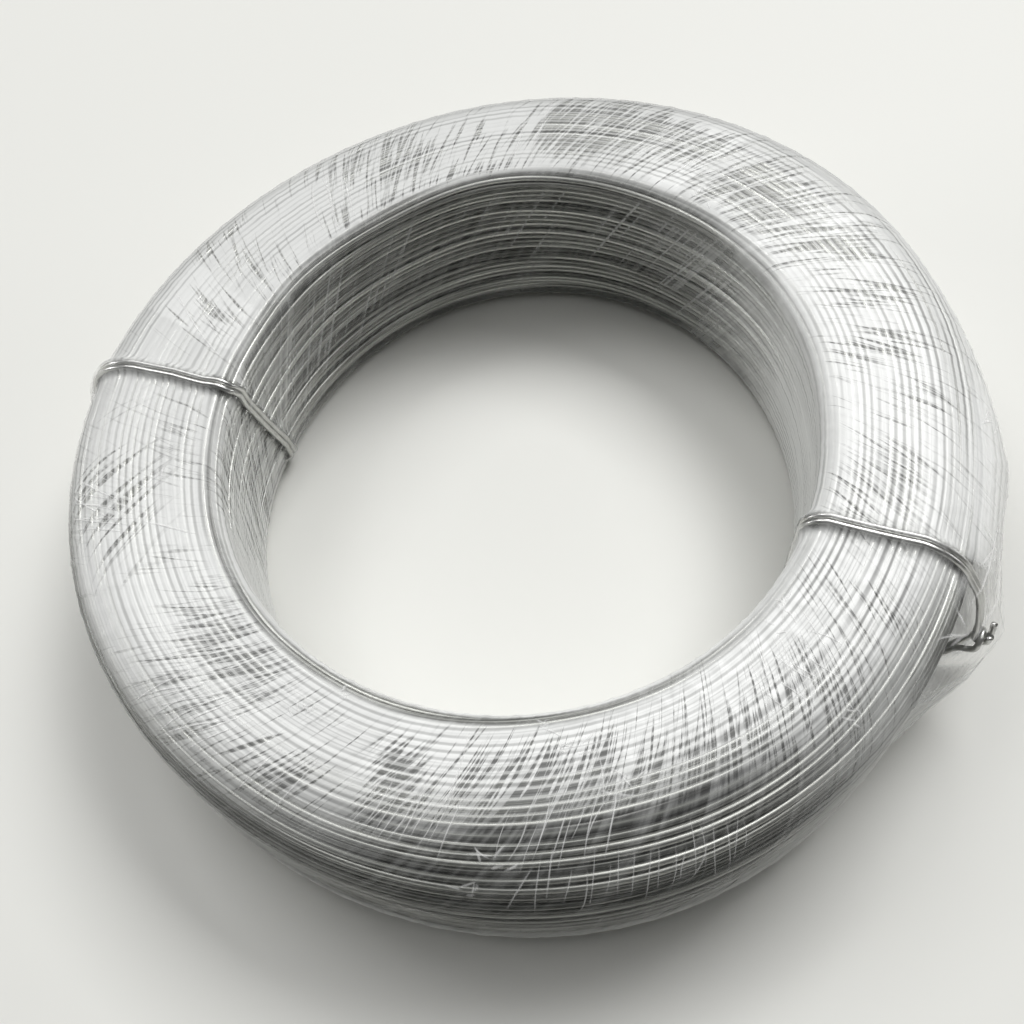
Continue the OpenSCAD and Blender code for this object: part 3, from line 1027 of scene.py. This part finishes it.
blotches = times(plus(streaks(straight, 42, 190), -0.5), read_layer(tree, "blotchy"))
cling = ramp(plus(read_layer(tree, "clear"), times(blotches, 0.8)), 0.0, 1.0)
milky = times(less(1.0, windows, STREAK_CLEAR), less(1.0, cling))
faint = times(streaks(left, 480, 14, 0.40, 0.75),
              plus(0.15, times(read_layer(tree, "haze"), 0.4)))
milky = plus(milky, times(cling, plus(0.05, faint)))
alpha = times(milky, ramp(read_layer(tree, "layers"), 0.0, 1.0, THIN_FILM, THICK_FILM))
print("nodes with the milky film:", len(tree.nodes))

# %% Faint lines between the turns
# Noise that is slow along each turn and different for the next makes the lines uneven
SLOW_ALONG, PER_TURN = 16.0, 0.55

axes = node(tree, "ShaderNodeSeparateXYZ", Vector=straight).outputs
lines_at = node(tree, "ShaderNodeCombineXYZ", X=times(axes[0], SLOW_ALONG),
                Y=times(axes[1], SLOW_ALONG), Z=times(turn, PER_TURN)).outputs[0]
uneven = node(tree, "ShaderNodeTexNoise", Vector=lines_at, Scale=1.0, Detail=2.0).outputs[0]
# The lines between the turns thin the film, so the gap below shows, and darken its colour:
# painted shade.
gap_line = times(ramp(crest, -1.0, 0.2, 1.0, 0.0), ramp(uneven, 0.38, 0.6, 0.1, 1.15))
# At the front the lines come twice per turn, so each turn reads as two bright lines, as if it
# showed two reflections: painted reflection.
twice = math_node("COSINE", times(turn, 4 * math.pi))
twice = times(ramp(twice, 0.0, 1.0), ramp(uneven, 0.62, 0.40, 0.0, 1.0))
gap_line = math_node("MAXIMUM", gap_line, times(times(twice, 0.7), front))
gap_line = times(gap_line, read_layer(tree, "gaps"))
alpha = times(alpha, less(1.0, gap_line, 0.2))
print("nodes with the lines:", len(tree.nodes))

# %% Colour, gloss and relief of the film
BLACK, FILM_WHITE = (0.0, 0.0, 0.0), (0.95, 0.958, 0.94)
FILM_ROUGH, SHADED_ROUGH = 0.36, 0.8
RELIEF = 0.3 * MM

# Painted shade at the back and along the rim darkens the film and makes it rougher.
painted_shade_rough = read_layer(tree, "painted_shade_rough")
# The lines between the turns darken the film's colour here: painted shade.
shade = less(plus(0.90, times(uneven, 0.14)), gap_line, 0.21)
shade = times(shade, less(1.0, painted_shade_rough))
relief = plus(times(crest, 0.3), times(fine, 0.25))
bump = node(tree, "ShaderNodeBump", Height=relief, Strength=0.3, Distance=RELIEF).outputs[0]
feed(shader, Base_Color=mix_colours(shade, BLACK, FILM_WHITE), Alpha=alpha,
     Roughness=plus(FILM_ROUGH, times(painted_shade_rough, SHADED_ROUGH)), Normal=bump)
give(film, film_finish, "film", "wrap_film")

# %% [markdown]
# ## Finish of the folds
#
# A crease is several layers pressed together, glossier and whiter than the film round it.
# Each strip is a glossy white, strongest along its middle. It fades to nothing at its
# edges, so the strip has no outline.

# %% Folded film
FOLD_WHITE = (0.95, 0.95, 0.94)
FOLD_SHOWS = 0.38

fold_finish, tree, shader = new_finish("folded film")
feed(shader, Base_Color=(*FOLD_WHITE, 1), Roughness=0.25,
     Alpha=times(read_layer(tree, "ridge"), FOLD_SHOWS))
give(folds, fold_finish, "film", "wrap_film")

# %% [markdown]
# ## Floor, light and camera
#
# The coil lies on a pale floor. The largest lamp stands high behind it, so the wall at
# the back of the eye and the front of the rim are in shade, and the top is bright. The
# lamps are large and soft, because small ones would put a hard spark on every turn.

# %% Floor
FLOOR_COLOUR = (0.68, 0.68, 0.648)

bpy.ops.mesh.primitive_plane_add(size=6)
floor = bpy.context.object
floor.name = "floor"
floor_finish, _, shader = new_finish("pale floor")
feed(shader, Base_Color=(*FLOOR_COLOUR, 1), Roughness=0.6)
floor.data.materials.append(floor_finish)
print("floor:", floor.dimensions.x, "m wide")


# %% Lamps
# Name: size in metres, power in watts, and where it hangs
LAMPS = {
    "left window": ((2.0, 1.6), 48, (-1.5, 1.8, 3.35)),
    "right window": ((2.4, 1.6), 132, (1.55, 1.8, 3.35)),
    "skylight": ((4.2, 2.2), 37, (0.1, 0.3, 3.6)),
    "left fill": ((1.2, 0.5), 17, (-2.8, 0.4, 0.85)),
    "right fill": ((1.2, 0.5), 9, (2.8, 0.4, 0.85)),
}
AIM = Vector((0, 0, 0.03))
SKY = 0.02

for name, (size, power, place) in LAMPS.items():
    data = bpy.data.lights.new(name, "AREA")
    data.shape = "RECTANGLE"
    data.size, data.size_y = size
    data.energy = power
    lamp = bpy.data.objects.new(name, data)
    bpy.context.scene.collection.objects.link(lamp)
    lamp.location = place
    lamp.rotation_mode = "QUATERNION"
    lamp.rotation_quaternion = (AIM - Vector(place)).to_track_quat("-Z", "Y")
    print(name, power, "W")

world = bpy.data.worlds.new("studio")
bpy.context.scene.world = world
world.use_nodes = True
feed(world.node_tree.nodes["Background"], Color=(1, 1, 1, 1), Strength=SKY)

# %% Camera
CAMERA_PLACE = (0.0, -0.2067, 0.3556)
CAMERA_PITCH = 1.0457
CAMERA_YAW = -0.0387
CAMERA_ROLL = -0.1429
CAMERA_LENS = 39.07

camera_data = bpy.data.cameras.new("camera")
camera_data.lens = CAMERA_LENS
camera_data.clip_start = 0.01
camera = bpy.data.objects.new("camera", camera_data)
bpy.context.scene.collection.objects.link(camera)
camera.matrix_world = (Matrix.Translation(CAMERA_PLACE)
                       @ Matrix.Rotation(-CAMERA_YAW, 4, "Z")
                       @ Matrix.Rotation(math.pi / 2 - CAMERA_PITCH, 4, "X")
                       @ Matrix.Rotation(CAMERA_ROLL, 4, "Z"))
bpy.context.scene.camera = camera
bpy.context.scene.view_settings.view_transform = "Standard"
print("camera at", CAMERA_PLACE, "lens", CAMERA_LENS, "mm")
